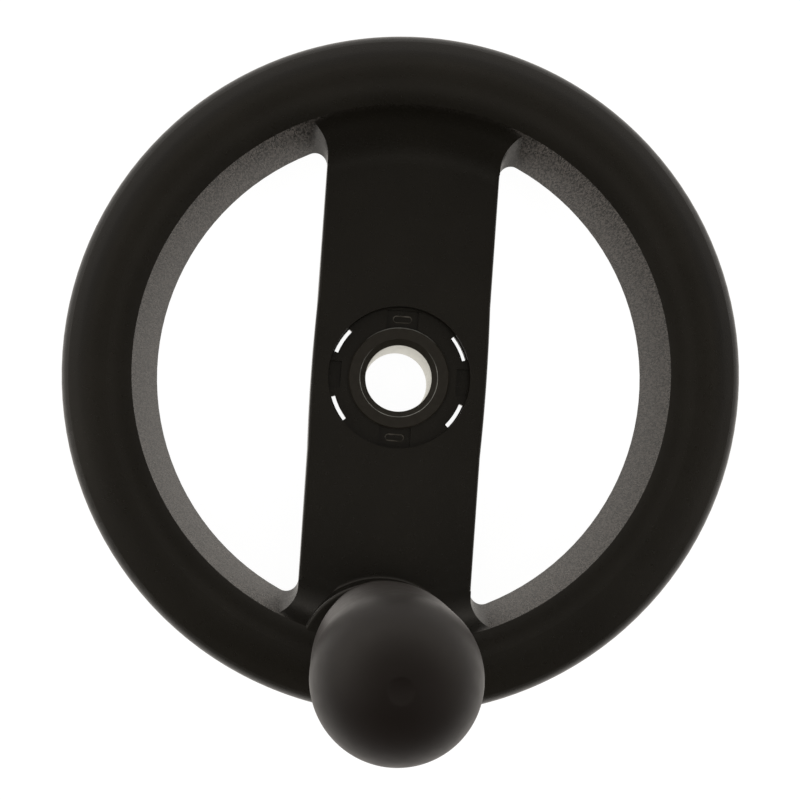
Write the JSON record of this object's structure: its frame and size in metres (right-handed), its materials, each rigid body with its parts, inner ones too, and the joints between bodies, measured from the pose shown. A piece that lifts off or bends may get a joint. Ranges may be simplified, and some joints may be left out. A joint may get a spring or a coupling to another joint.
{
  "type": "machine handwheel",
  "caption": "Bar-spoke machine handwheel with a reamed steel hub bush, an open cap pocket and a revolving dome-ended grip on a boss.",
  "frame": {"origin": "on the bore axis at the hub bush's back face, where the bush seats on the shaft's shoulder", "axes": "+Z along the bore towards the operator, the way the grip stands; the bar lies along Y and the grip is at its -Y end"},
  "size_m": [0.16, 0.16, 0.1106],
  "materials": {
    "black_moulding": "fine spark-eroded matte moulding",
    "grip_moulding": "satin moulding",
    "blackened_steel": "turned and black-oxide coated, bright reamed bore",
    "insert_brass": "turned",
    "plated_steel": "turned and zinc plated",
    "spring_steel": "drawn wire"
  },
  "bodies": {
    "wheel": {"wheel_body": "black_moulding", "hub_insert": "blackened_steel", "boss_insert": "insert_brass", "handle_spindle": "plated_steel", "grip_snap_ring": "spring_steel"},
    "grip": {"handle_grip": "grip_moulding"}
  },
  "joints": [
    {"name": "handle_spin", "type": "hinge", "parent": "wheel", "child": "grip", "pos_m": [0, -0.0625, 0.0336], "axis": [0, 0, 1], "continuous": true}
  ]
}
